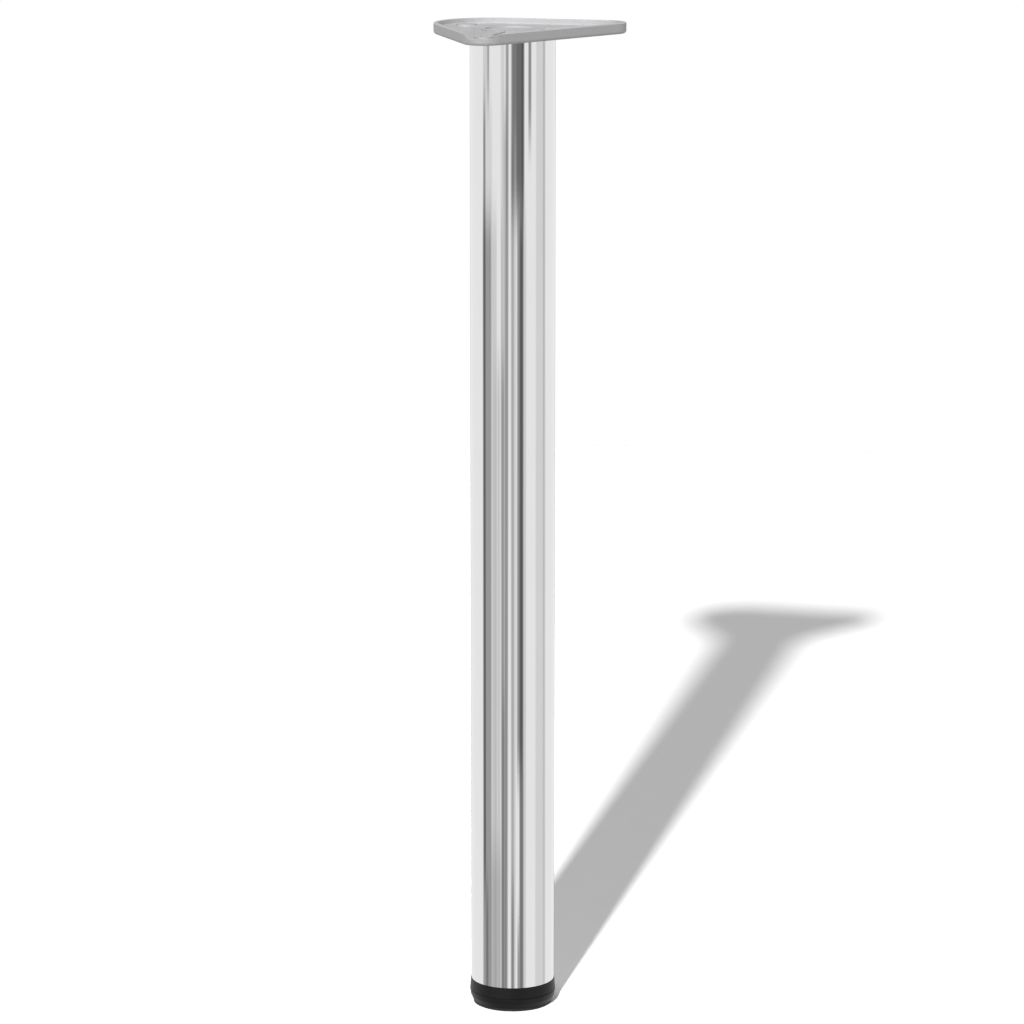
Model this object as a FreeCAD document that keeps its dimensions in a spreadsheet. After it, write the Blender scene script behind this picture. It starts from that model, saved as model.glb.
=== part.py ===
import FreeCAD, Part
import math
import os
import Sketcher

# Height adjustable table leg: a chromed tube with a triangular cast mounting plate on
# top and a black screw foot below. Millimetres, +Z up, origin at the middle of the floor
# contact. The blunt corner of the plate points to the corner of the table, at -X +Y.

document = FreeCAD.newDocument("table_leg")
sheet = document.addObject("Spreadsheet::Sheet", "Sizes")

SIZES = {
    # whole leg
    "leg_height": 710.0,
    "tube_diameter": 60.0,
    "tube_wall": 1.2,
    "tube_edge_chamfer": 0.4,
    # mounting plate
    "plate_height": 7.8,
    "plate_floor": 4.0,
    "plate_inradius": 49.7,
    "plate_shift": 2.6,
    "plate_turn": 45.0,
    "corner_round": 15.4,
    "blunt_round": 40.0,
    "rim_wall": 3.2,
    "rim_edge_chamfer": 0.5,
    "under_edge_round": 2.2,
    "tray_edge_chamfer": 0.9,
    "notch_width": 26.0,
    "notch_slope": 56.0,
    "notch_edge_round": 4.0,
    "boss_diameter": 14.4,
    "boss_rise": 1.4,
    "blunt_boss_reach": 46.0,
    "screw_hole_diameter": 5.5,
    "countersink_depth": 2.4,
    "rib_width": 2.6,
    "rib_height": 1.0,
    "rib_ring_diameter": 44.0,
    # hub under the plate, inside the tube
    "hub_clearance": 0.1,
    "hub_wall": 4.0,
    "hub_depth": 26.0,
    "hub_lead": 1.2,
    "clamp_drop": 13.0,
    "clamp_boss_diameter": 13.0,
    "clamp_boss_length": 5.0,
    # clamp screw
    "clamp_diameter": 6.0,
    "clamp_length": 8.0,
    "clamp_setback": 0.3,
    "clamp_socket": 3.0,
    "clamp_socket_depth": 3.2,
    "clamp_point_chamfer": 1.2,
    "clamp_thread_gap": 0.05,
    "clamp_access_gap": 0.3,
    # plug in the lower end of the tube
    "collar_height": 7.6,
    "collar_step": 0.3,
    "collar_swell": 0.7,
    "plug_base": 3.0,
    "skirt_gap": 0.6,
    "skirt_wall": 2.4,
    "skirt_height": 22.0,
    "skirt_lead": 1.0,
    "crush_rib_gap": 0.05,
    "crush_rib_width": 2.0,
    "crush_rib_height": 17.0,
    "crush_rib_count": 8,
    "plug_boss_diameter": 26.0,
    "plug_boss_roof": 5.0,
    "plug_web_width": 2.0,
    "plug_web_height": 9.0,
    "plug_web_count": 6,
    # nut and spindle
    "spindle_diameter": 10.0,
    "spindle_gap": 0.08,
    "spindle_bore_gap": 0.5,
    "spindle_end_chamfer": 1.2,
    "spindle_engagement": 5.0,
    "foot_travel": 20.0,
    "nut_width": 16.0,
    "nut_height": 8.4,
    "nut_fit_gap": 0.05,
    "nut_recess": 1.0,
    "nut_chamfer": 0.8,
    "head_width": 16.0,
    "head_height": 4.0,
    # foot
    "foot_height": 10.0,
    "foot_gap": 0.3,
    "foot_taper": 2.2,
    "foot_bend_rise": 3.4,
    "foot_bend_setback": 0.63,
    "foot_edge_chamfer": 0.5,
    "foot_wall": 3.0,
    "foot_top_wall": 2.6,
    "foot_hub_diameter": 24.0,
    "foot_web_width": 1.8,
    "foot_web_count": 6,
    "head_cover": 0.6,
    # pad
    "pad_height": 1.8,
    "pad_inset": 2.6,
    "pad_stud_diameter": 8.0,
    "pad_stud_gap": 0.1,
    "pad_stud_height": 2.6,
}

for row, (alias, number) in enumerate(SIZES.items(), start=1):
    sheet.set("A%d" % row, alias.replace("_", " "))
    sheet.set("B%d" % row, str(number))
    sheet.setAlias("B%d" % row, alias)
document.recompute()


class Size:
    """A length that carries its expression on the sheet together with its value."""

    def __init__(self, text, value):
        self.text = text
        self.value = value

    @staticmethod
    def of(other):
        return other if isinstance(other, Size) else Size(repr(float(other)), float(other))

    def joined(self, other, sign, value):
        return Size("(%s %s %s)" % (self.text, sign, other.text), value)

    def __add__(self, other):
        other = Size.of(other)
        return self.joined(other, "+", self.value + other.value)

    def __radd__(self, other):
        return Size.of(other) + self

    def __sub__(self, other):
        other = Size.of(other)
        return self.joined(other, "-", self.value - other.value)

    def __rsub__(self, other):
        return Size.of(other) - self

    def __mul__(self, other):
        other = Size.of(other)
        return self.joined(other, "*", self.value * other.value)

    def __rmul__(self, other):
        return Size.of(other) * self

    def __truediv__(self, other):
        other = Size.of(other)
        return self.joined(other, "/", self.value / other.value)

    def __neg__(self):
        return 0.0 - self


def size(alias):
    return Size("Sizes." + alias, float(sheet.get(alias)))


def plane_of(body, role):
    """One of the body's own origin planes, by its role."""
    return [item for item in body.Origin.OriginFeatures if item.Role == role][0]


def new_body(label):
    body = document.addObject("PartDesign::Body", label)
    body.Label = label
    return body


def new_sketch(body, name, role="XY_Plane", offset=0.0):
    """An empty sketch on an origin plane, moved along the plane's normal by offset."""
    sketch = body.newObject("Sketcher::SketchObject", name)
    sketch.AttachmentSupport = [(plane_of(body, role), "")]
    sketch.MapMode = "FlatFace"
    sketch.setExpression("AttachmentOffset.Base.z", Size.of(offset).text)
    return sketch


def fix_point(sketch, geometry, vertex, point):
    """Hold a vertex at its coordinates, which stay tied to the sheet."""
    for axis, kind, coordinate in ((-2, "DistanceX", point[0]), (-1, "DistanceY", point[1])):
        coordinate = Size.of(coordinate)
        if coordinate.value == 0.0:
            sketch.addConstraint(Sketcher.Constraint("PointOnObject", geometry, vertex, axis))
        else:
            index = sketch.addConstraint(
                Sketcher.Constraint(kind, -1, 1, geometry, vertex, coordinate.value))
            sketch.setExpression("Constraints[%d]" % index, coordinate.text)


def arc_between(start, end, radius):
    """Arc with its centre on the left of the way from start to end, as a short curve."""
    chord = end.sub(start)
    middle = start.add(end).multiply(0.5)
    rise = math.sqrt(radius ** 2 - (chord.Length / 2.0) ** 2)
    normal = FreeCAD.Vector(-chord.y, chord.x, 0.0).normalize()
    centre = middle.add(normal.multiply(rise))
    first = math.atan2(start.y - centre.y, start.x - centre.x)
    last = math.atan2(end.y - centre.y, end.x - centre.x)
    circle = Part.Circle(centre, FreeCAD.Vector(0, 0, 1), radius)
    return Part.ArcOfCircle(circle, first, last)


def draw_outline(sketch, points):
    """Closed outline, anticlockwise. A point is (x, y), or (x, y, radius) where a convex arc follows."""
    count = len(points)
    spots = [FreeCAD.Vector(Size.of(p[0]).value, Size.of(p[1]).value, 0.0) for p in points]
    edges = []
    for index, point in enumerate(points):
        start = spots[index]
        end = spots[(index + 1) % count]
        if len(point) == 3:
            edges.append(sketch.addGeometry(arc_between(start, end, point[2].value), False))
        else:
            edges.append(sketch.addGeometry(Part.LineSegment(start, end), False))
    for index, edge in enumerate(edges):
        following = edges[(index + 1) % count]
        sketch.addConstraint(Sketcher.Constraint("Coincident", edge, 2, following, 1))
    for edge, point in zip(edges, points):
        fix_point(sketch, edge, 1, point)
        if len(point) == 3:
            index = sketch.addConstraint(Sketcher.Constraint("Radius", edge, point[2].value))
            sketch.setExpression("Constraints[%d]" % index, point[2].text)


def draw_circle(sketch, centre, diameter):
    centre_point = FreeCAD.Vector(Size.of(centre[0]).value, Size.of(centre[1]).value, 0.0)
    circle = Part.Circle(centre_point, FreeCAD.Vector(0, 0, 1), diameter.value / 2.0)
    geometry = sketch.addGeometry(circle, False)
    index = sketch.addConstraint(Sketcher.Constraint("Diameter", geometry, diameter.value))
    sketch.setExpression("Constraints[%d]" % index, diameter.text)
    fix_point(sketch, geometry, 3, centre)


def draw_hexagon(sketch, width):
    """Hexagon round the origin with two flats facing the sketch's own Y."""
    half = width / 2.0
    corner = width / math.sqrt(3.0)
    draw_outline(sketch, [(corner, 0), (corner / 2.0, half), (-corner / 2.0, half),
                          (-corner, 0), (-corner / 2.0, -half), (corner / 2.0, -half)])


def draw_rectangle(sketch, low, high):
    draw_outline(sketch, [low, (high[0], low[1]), high, (low[0], high[1])])


def pad(body, name, sketch, length, reversed_way=False):
    feature = body.newObject("PartDesign::Pad", name)
    feature.Profile = sketch
    feature.setExpression("Length", Size.of(length).text)
    feature.Reversed = reversed_way
    body.Tip = feature
    return feature


def pocket(body, name, sketch, length, reversed_way=False):
    """Cut against the sketch's normal, or along it when reversed."""
    feature = body.newObject("PartDesign::Pocket", name)
    feature.Profile = sketch
    feature.setExpression("Length", Size.of(length).text)
    feature.Reversed = reversed_way
    body.Tip = feature
    return feature


def revolve(body, name, points):
    """Turn a half section given as (radius, height) round the body's Z axis."""
    sketch = new_sketch(body, name + "_section", "XZ_Plane")
    draw_outline(sketch, points)
    feature = body.newObject("PartDesign::Revolution", name)
    feature.Profile = sketch
    feature.ReferenceAxis = (sketch, ["V_Axis"])
    feature.Angle = 360.0
    body.Tip = feature
    return feature


def polar(body, name, features, count):
    """Repeat features round the body's Z axis."""
    feature = body.newObject("PartDesign::PolarPattern", name)
    feature.Originals = features
    axis = [item for item in body.Origin.OriginFeatures if item.Role == "Z_Axis"][0]
    feature.Axis = (axis, [""])
    feature.Angle = 360.0
    feature.setExpression("Occurrences", Size.of(count).text)
    body.Tip = feature
    return feature


def edges_where(body, test):
    """Names of the edges of the tip's shape for which test(edge) holds."""
    document.recompute()
    edges = body.Tip.Shape.Edges
    return ["Edge%d" % number for number, edge in enumerate(edges, start=1) if test(edge)]


def dress(body, kind, name, radius, test):
    """Fillet or chamfer the edges that test picks."""
    names = edges_where(body, test)
    base = body.Tip
    feature = body.newObject("PartDesign::" + kind, name)
    feature.Base = (base, names)
    feature.setExpression("Radius" if kind == "Fillet" else "Size", Size.of(radius).text)
    body.Tip = feature
    return feature


TOLERANCE = 0.001
CLEAR = 1.0
OVERLAP = 1.0


def level_at(height):
    """Test for edges that lie in the plane z = height of the body."""
    target = Size.of(height).value

    def test(edge):
        box = edge.BoundBox
        return abs(box.ZMin - target) < TOLERANCE and abs(box.ZMax - target) < TOLERANCE
    return test


def circle_at(height, diameter):
    """Test for circular edges of one diameter in the plane z = height."""
    level = level_at(height)
    target = diameter.value / 2.0

    def test(edge):
        curve = edge.Curve
        return level(edge) and isinstance(curve, Part.Circle) and abs(curve.Radius - target) < TOLERANCE
    return test


leg_height = size("leg_height")
tube_radius = size("tube_diameter") / 2.0
tube_bore_radius = tube_radius - size("tube_wall")
plate_height = size("plate_height")
plate_underside = leg_height - plate_height
tray_depth = plate_height - size("plate_floor")
tube_foot = size("foot_height") + size("collar_height")
collar_foot = size("foot_height")
foot_top = size("foot_height") - size("foot_gap")
clamp_height = plate_underside - size("clamp_drop")


# Mounting plate

def triangle(inset):
    """Rounded triangle whose sides and corners lie inset inside the plate's outline."""
    inradius = size("plate_inradius") - inset
    corner = size("corner_round") - inset
    blunt = size("blunt_round") - inset
    shift = size("plate_shift")
    side = math.cos(math.radians(30.0))
    rise = math.sin(math.radians(30.0))
    corner_x = 2.0 * side * (inradius - corner)
    corner_y = shift - (inradius - corner)
    blunt_y = shift + 2.0 * (inradius - blunt)
    return [
        (-corner_x, corner_y - corner),
        (corner_x, corner_y - corner, corner),
        (corner_x + side * corner, corner_y + rise * corner),
        (side * blunt, blunt_y + rise * blunt, blunt),
        (-side * blunt, blunt_y + rise * blunt),
        (-corner_x - side * corner, corner_y + rise * corner, corner),
    ]


def make_mounting_plate():
    """Shallow cast tray with low corner bosses and ribs."""
    body = new_body("mounting_plate")
    floor = size("plate_floor")

    outline = new_sketch(body, "plate_outline")
    draw_outline(outline, triangle(0.0))
    pad(body, "plate_slab", outline, plate_height)
    dress(body, "Fillet", "under_edge", size("under_edge_round"), level_at(0.0))
    dress(body, "Chamfer", "rim_edge", size("rim_edge_chamfer"), level_at(plate_height))

    tray = new_sketch(body, "tray_outline", offset=plate_height)
    draw_outline(tray, triangle(size("rim_wall")))
    pocket(body, "tray", tray, tray_depth)
    dress(body, "Chamfer", "tray_edge", size("tray_edge_chamfer"), level_at(floor))

    # gap in the rim at one corner, with sloping ends
    corner_gap = size("plate_inradius") - size("corner_round")
    corner_x = -2.0 * math.cos(math.radians(30.0)) * corner_gap
    corner_y = size("plate_shift") - corner_gap
    along = FreeCAD.Vector(math.cos(math.radians(210.0)), math.sin(math.radians(210.0)), 0.0)
    across = FreeCAD.Vector(-along.y, along.x, 0.0)
    half = size("notch_width") / 2.0
    start = -0.5 * size("corner_round")
    out = 2.0 * size("corner_round")
    notch = new_sketch(body, "notch_outline", offset=plate_height)
    draw_outline(notch, [
        (corner_x + along.x * reach + across.x * side, corner_y + along.y * reach + across.y * side)
        for reach, side in ((start, -1.0 * half), (out, -1.0 * half), (out, half), (start, half))
    ])
    cut = pocket(body, "notch", notch, tray_depth)
    cut.setExpression("TaperAngle", "-1 * %s * 1 deg" % size("notch_slope").text)
    notch_side = half.value

    def notch_end(edge):
        """Top edges of the two rim ends that the gap leaves."""
        if not level_at(plate_height)(edge) or not isinstance(edge.Curve, Part.Line):
            return False
        middle = edge.valueAt((edge.FirstParameter + edge.LastParameter) / 2.0)
        side = (middle.x - corner_x.value) * across.x + (middle.y - corner_y.value) * across.y
        return abs(abs(side) - notch_side) < TOLERANCE and middle.x < 0.0 and middle.y < 0.0

    dress(body, "Fillet", "notch_ends", size("notch_edge_round"), notch_end)

    # low screw bosses on the tray's floor
    blunt_boss = (0.0, size("blunt_boss_reach"))
    centres = [(corner_x, corner_y), (-corner_x, corner_y), blunt_boss]
    root = 0.5 * floor
    bosses = new_sketch(body, "boss_outlines", offset=root)
    for centre in centres:
        draw_circle(bosses, centre, size("boss_diameter"))
    pad(body, "bosses", bosses, floor - root + size("boss_rise"))

    # low ribs from the middle ring to the bosses
    ribs = new_sketch(body, "rib_ring_outline", offset=root)
    draw_circle(ribs, (0, 0), size("rib_ring_diameter"))
    draw_circle(ribs, (0, 0), size("rib_ring_diameter") - 2.0 * size("rib_width"))
    pad(body, "rib_ring", ribs, floor - root + size("rib_height"))
    for number, centre in enumerate(centres, start=1):
        add_rib(body, "rib_%d" % number, centre, root, floor - root + size("rib_height"))

    # countersunk screw holes
    holes = new_sketch(body, "screw_hole_outlines", offset=plate_height)
    for centre in centres:
        draw_circle(holes, centre, size("screw_hole_diameter"))
    pocket(body, "screw_holes", holes, plate_height)
    dress(body, "Chamfer", "countersinks", size("countersink_depth"),
          circle_at(0.0, size("screw_hole_diameter")))

    set_on_tube(body)
    return body


def set_on_tube(body):
    """Raise a body drawn from the plate's underside to its height, and turn it as the plate is."""
    body.setExpression("Placement.Base.z", plate_underside.text)
    body.setExpression("Placement.Rotation.Angle", size("plate_turn").text)
    body.Placement.Rotation.Axis = FreeCAD.Vector(0, 0, 1)


def add_rib(body, name, centre, base, height):
    """Straight rib from the middle ring to the boss at centre."""
    x = Size.of(centre[0])
    y = Size.of(centre[1])
    length = math.hypot(x.value, y.value)
    unit_x = x.value / length
    unit_y = y.value / length
    inner = size("rib_ring_diameter") / 2.0 - 0.5 * size("rib_width")
    half = size("rib_width") / 2.0
    sketch = new_sketch(body, name + "_outline", offset=base)
    draw_outline(sketch, [
        (inner * unit_x + half * unit_y, inner * unit_y - half * unit_x),
        (x + half * unit_y, y - half * unit_x),
        (x - half * unit_y, y + half * unit_x),
        (inner * unit_x - half * unit_y, inner * unit_y + half * unit_x),
    ])
    pad(body, name, sketch, height)


# Hub

def make_tube_hub():
    """Cast ring below the plate that enters the tube, with a boss for the clamp screw."""
    body = new_body("tube_hub")
    hub_radius = tube_bore_radius - size("hub_clearance")
    hub_bore = hub_radius - size("hub_wall")
    hub = new_sketch(body, "hub_outline")
    draw_circle(hub, (0, 0), 2.0 * hub_radius)
    draw_circle(hub, (0, 0), 2.0 * hub_bore)
    pad(body, "hub", hub, size("hub_depth"), reversed_way=True)
    dress(body, "Chamfer", "hub_lead", size("hub_lead"),
          circle_at(-size("hub_depth"), 2.0 * hub_radius))
    boss_start = hub_bore - size("clamp_boss_length")
    clamp_boss = new_sketch(body, "clamp_boss_outline", "XZ_Plane", -boss_start)
    draw_circle(clamp_boss, (0, -size("clamp_drop")), size("clamp_boss_diameter"))
    pad(body, "clamp_boss", clamp_boss, size("clamp_boss_length") + 0.5 * size("hub_wall"),
        reversed_way=True)
    clamp_hole = new_sketch(body, "clamp_hole_outline", "XZ_Plane", -(hub_radius + CLEAR))
    draw_circle(clamp_hole, (0, -size("clamp_drop")), size("clamp_diameter"))
    pocket(body, "clamp_hole", clamp_hole, size("hub_wall") + size("clamp_boss_length") + 2.0 * CLEAR,
           reversed_way=True)
    set_on_tube(body)
    return body


# Tube

def make_leg_tube():
    """Round steel tube between the plug's collar and the plate, with a hole for the clamp key."""
    body = new_body("leg_tube")
    section = new_sketch(body, "tube_section", offset=tube_foot)
    draw_circle(section, (0, 0), 2.0 * tube_radius)
    draw_circle(section, (0, 0), 2.0 * tube_bore_radius)
    pad(body, "tube_wall", section, plate_underside - tube_foot)
    outer = 2.0 * tube_radius

    def outer_end(edge):
        return circle_at(tube_foot, outer)(edge) or circle_at(plate_underside, outer)(edge)

    dress(body, "Chamfer", "tube_ends", size("tube_edge_chamfer"), outer_end)
    hole = new_sketch(body, "key_hole_outline", "XZ_Plane", -(tube_radius + CLEAR))
    draw_circle(hole, (0, clamp_height), size("clamp_diameter") + 2.0 * size("clamp_access_gap"))
    pocket(body, "key_hole", hole, size("tube_wall") + 2.0 * CLEAR, reversed_way=True)
    body.setExpression("Placement.Rotation.Angle", size("plate_turn").text)
    body.Placement.Rotation.Axis = FreeCAD.Vector(0, 0, 1)
    return body


# Clamp screw

def make_clamp_screw():
    """Hex socket grub screw in the hub, its end just inside the tube's outer face."""
    body = new_body("clamp_screw")
    radius = size("clamp_diameter") / 2.0 - size("clamp_thread_gap")
    revolve(body, "clamp_shank", [
        (0, 0),
        (radius - size("clamp_point_chamfer"), 0),
        (radius, size("clamp_point_chamfer")),
        (radius, size("clamp_length")),
        (0, size("clamp_length")),
    ])
    socket = new_sketch(body, "socket_outline", offset=size("clamp_length"))
    draw_hexagon(socket, size("clamp_socket"))
    pocket(body, "socket", socket, size("clamp_socket_depth"))
    start = tube_radius - size("clamp_setback") - size("clamp_length")
    turn = size("plate_turn") + 90.0
    along = "%s * cos(%s * 1 deg)" % (start.text, turn.text)
    aside = "%s * sin(%s * 1 deg)" % (start.text, turn.text)
    body.setExpression("Placement.Base.x", along)
    body.setExpression("Placement.Base.y", aside)
    body.setExpression("Placement.Base.z", clamp_height.text)
    upright = FreeCAD.Rotation(FreeCAD.Vector(0, 1, 0), 90.0)
    around = FreeCAD.Rotation(FreeCAD.Vector(0, 0, 1), turn.value)
    body.Placement.Rotation = around.multiply(upright)
    return body


# Plug in the lower end of the tube

def make_tube_plug():
    """Collar, ribbed skirt and webbed middle boss with a nut pocket that opens downwards."""
    body = new_body("tube_plug")
    bore = size("spindle_diameter") / 2.0 + size("spindle_bore_gap")
    collar_low = tube_radius + size("collar_step") + size("collar_swell")
    collar_high = tube_radius + size("collar_step")
    skirt = tube_bore_radius - size("skirt_gap")
    skirt_top = tube_foot + size("skirt_height")
    floor = collar_foot + size("plug_base")
    boss = size("plug_boss_diameter") / 2.0
    nut_top = collar_foot + size("nut_recess") + size("nut_height")
    boss_top = nut_top + size("plug_boss_roof")
    revolve(body, "plug_shell", [
        (bore, collar_foot),
        (collar_low, collar_foot),
        (collar_high, tube_foot),
        (skirt, tube_foot),
        (skirt, skirt_top - size("skirt_lead")),
        (skirt - size("skirt_lead"), skirt_top),
        (skirt - size("skirt_wall"), skirt_top),
        (skirt - size("skirt_wall"), floor),
        (boss, floor),
        (boss, boss_top),
        (bore, boss_top),
    ])

    web = new_sketch(body, "web_outline", offset=collar_foot + 0.5 * size("plug_base"))
    half = size("plug_web_width") / 2.0
    draw_rectangle(web, (boss - OVERLAP, -half), (skirt - 0.5 * size("skirt_wall"), half))
    webs = pad(body, "web", web, 0.5 * size("plug_base") + size("plug_web_height"))
    polar(body, "webs", [webs], size("plug_web_count"))

    rib = new_sketch(body, "crush_rib_outline", offset=tube_foot)
    half = size("crush_rib_width") / 2.0
    rib_face = tube_bore_radius - size("crush_rib_gap")
    draw_outline(rib, [
        (skirt - 0.5 * size("skirt_wall"), -half),
        (rib_face - 0.5 * half * half / rib_face, -half, rib_face),
        (rib_face - 0.5 * half * half / rib_face, half),
        (skirt - 0.5 * size("skirt_wall"), half),
    ])
    ribs = pad(body, "crush_rib", rib, size("crush_rib_height"))
    polar(body, "crush_ribs", [ribs], size("crush_rib_count"))

    nut = new_sketch(body, "nut_pocket_outline", offset=collar_foot)
    draw_hexagon(nut, size("nut_width") + 2.0 * size("nut_fit_gap"))
    pocket(body, "nut_pocket", nut, size("nut_recess") + size("nut_height"), reversed_way=True)
    return body


# Nut

def make_spindle_nut():
    """Hexagonal nut against the roof of the plug's pocket."""
    body = new_body("spindle_nut")
    base = collar_foot + size("nut_recess")
    section = new_sketch(body, "nut_section", offset=base)
    draw_hexagon(section, size("nut_width"))
    pad(body, "nut_prism", section, size("nut_height"))
    bore = size("spindle_diameter") + 2.0 * size("spindle_gap")
    hole = new_sketch(body, "nut_hole_outline", offset=base + size("nut_height"))
    draw_circle(hole, (0, 0), bore)
    pocket(body, "nut_hole", hole, size("nut_height"))
    dress(body, "Chamfer", "nut_mouth", size("nut_chamfer"), circle_at(base, bore))
    return body


# Foot

def head_top():
    return foot_top - size("head_cover")


def make_foot_spindle():
    """Stud with a thin hexagonal head that is moulded into the foot."""
    body = new_body("foot_spindle")
    head_base = head_top() - size("head_height")
    head = new_sketch(body, "head_section", offset=head_base)
    draw_hexagon(head, size("head_width"))
    pad(body, "head", head, size("head_height"))
    nut_top = collar_foot + size("nut_recess") + size("nut_height")
    spindle_top = nut_top + size("foot_travel") + size("spindle_engagement")
    shank = new_sketch(body, "shank_section", offset=head_base)
    draw_circle(shank, (0, 0), size("spindle_diameter"))
    pad(body, "shank", shank, spindle_top - head_base)
    dress(body, "Chamfer", "shank_end", size("spindle_end_chamfer"),
          circle_at(spindle_top, size("spindle_diameter")))
    return body


def make_foot_cap():
    """Moulded foot with a bent flank, a webbed underside and a hub that holds the spindle's head."""
    body = new_body("foot_cap")
    foot_radius = tube_radius + size("collar_step") + size("collar_swell")
    base = size("pad_height") + size("foot_gap")
    base_radius = foot_radius - size("foot_taper")
    hub = size("foot_hub_diameter") / 2.0
    roof = foot_top - size("foot_top_wall")
    inner = base_radius - size("foot_wall")
    bore = size("spindle_diameter") / 2.0 + size("nut_fit_gap")
    head_base = head_top() - size("head_height")
    revolve(body, "foot_shell", [
        (bore, base),
        (hub, base),
        (hub, roof),
        (inner, roof),
        (inner, base),
        (base_radius, base),
        (foot_radius - size("foot_bend_setback"), base + size("foot_bend_rise")),
        (foot_radius, foot_top - size("foot_edge_chamfer")),
        (foot_radius - size("foot_edge_chamfer"), foot_top),
        (bore, foot_top),
    ])
    web = new_sketch(body, "foot_web_outline", offset=base)
    half = size("foot_web_width") / 2.0
    draw_rectangle(web, (hub - OVERLAP, -half), (inner + OVERLAP, half))
    webs = pad(body, "foot_web", web, roof + 0.5 * size("foot_top_wall") - base)
    polar(body, "foot_webs", [webs], size("foot_web_count"))

    head = new_sketch(body, "head_pocket_outline", offset=base)
    draw_hexagon(head, size("head_width"))
    pocket(body, "head_pocket", head, head_top() - base, reversed_way=True)
    cover = new_sketch(body, "head_cover_outline", offset=base)
    draw_circle(cover, (0, 0), 2.0 * hub)
    pad(body, "head_floor", cover, head_base - base)
    stud = new_sketch(body, "stud_hole_outline", offset=base)
    draw_circle(stud, (0, 0), size("pad_stud_diameter") + 2.0 * size("pad_stud_gap"))
    pocket(body, "stud_hole", stud, head_base - base, reversed_way=True)
    return body


def make_foot_pad():
    """Soft disc on the floor with a stud that turns in the foot."""
    body = new_body("foot_pad")
    radius = tube_radius + size("collar_step") + size("collar_swell") - size("pad_inset")
    stud = size("pad_stud_diameter") / 2.0
    top = size("pad_height")
    revolve(body, "pad_disc", [
        (0, 0),
        (radius, 0),
        (radius, top),
        (stud, top),
        (stud, top + size("pad_stud_height")),
        (0, top + size("pad_stud_height")),
    ])
    return body


bodies = [
    make_mounting_plate(),
    make_tube_hub(),
    make_leg_tube(),
    make_clamp_screw(),
    make_tube_plug(),
    make_spindle_nut(),
    make_foot_spindle(),
    make_foot_cap(),
    make_foot_pad(),
]
document.recompute()

for item in document.Objects:
    if "Invalid" in item.State or "Error" in item.State:
        raise RuntimeError("%s failed: %s" % (item.Name, item.State))

os.makedirs("parts", exist_ok=True)
for body in bodies:
    shape = body.Shape
    if shape.isNull() or not shape.isValid():
        raise RuntimeError("%s has no valid shape" % body.Label)
    print(body.Label, "solids", len(shape.Solids), "volume %.1f" % shape.Volume)
    shape.exportStep("parts/%s.step" % body.Label)
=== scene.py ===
"""Looks of a height adjustable table leg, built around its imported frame.

A chromed tube hangs from a cast mounting plate and stands on a screw foot. Lengths are in
metres, in the frame's own axes: Z is up and the foot's rubber pad stands on Z = 0.
"""

import logging
import math
from dataclasses import dataclass
from enum import Enum
from typing import Any, Callable, Protocol, Sequence

import bpy
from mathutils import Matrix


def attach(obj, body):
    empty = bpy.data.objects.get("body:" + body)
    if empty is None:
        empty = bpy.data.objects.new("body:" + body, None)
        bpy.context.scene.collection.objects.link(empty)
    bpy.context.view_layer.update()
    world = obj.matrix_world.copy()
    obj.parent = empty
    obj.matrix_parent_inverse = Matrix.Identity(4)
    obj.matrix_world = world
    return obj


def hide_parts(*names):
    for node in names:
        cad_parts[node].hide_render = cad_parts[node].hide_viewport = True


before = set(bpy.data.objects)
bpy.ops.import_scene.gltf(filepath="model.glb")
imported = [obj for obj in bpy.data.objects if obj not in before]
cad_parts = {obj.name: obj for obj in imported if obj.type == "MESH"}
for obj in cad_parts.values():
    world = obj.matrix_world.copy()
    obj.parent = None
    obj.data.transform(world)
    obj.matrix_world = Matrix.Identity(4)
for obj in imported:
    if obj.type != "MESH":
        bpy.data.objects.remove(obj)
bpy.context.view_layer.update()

logging.basicConfig(level=logging.INFO, format="%(name)s: %(message)s", force=True)
log = logging.getLogger("table_leg")

MM = 0.001

# Added to a distance from the axis before something is divided by it
AXIS_GUARD = 0.01 * MM

# How close two points are when they become one
WELD = 0.001 * MM

# Elevations in degrees: straight up, straight down, and where the middle of the tube looks
ZENITH = 90.0
NADIR = -90.0
MIDDLE_ELEVATION = -10.6


class Body(Enum):
    """The moving bodies of the leg."""

    LEG = "leg"
    FOOT = "foot"
    PAD = "pad"


class Slot(Enum):
    """The record's material slots."""

    CAST = "cast_metal"
    CHROME = "chrome_plate"
    STEEL = "bright_steel"
    PLASTIC = "black_plastic"
    RUBBER = "pad_rubber"


# Shader graphs

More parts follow.
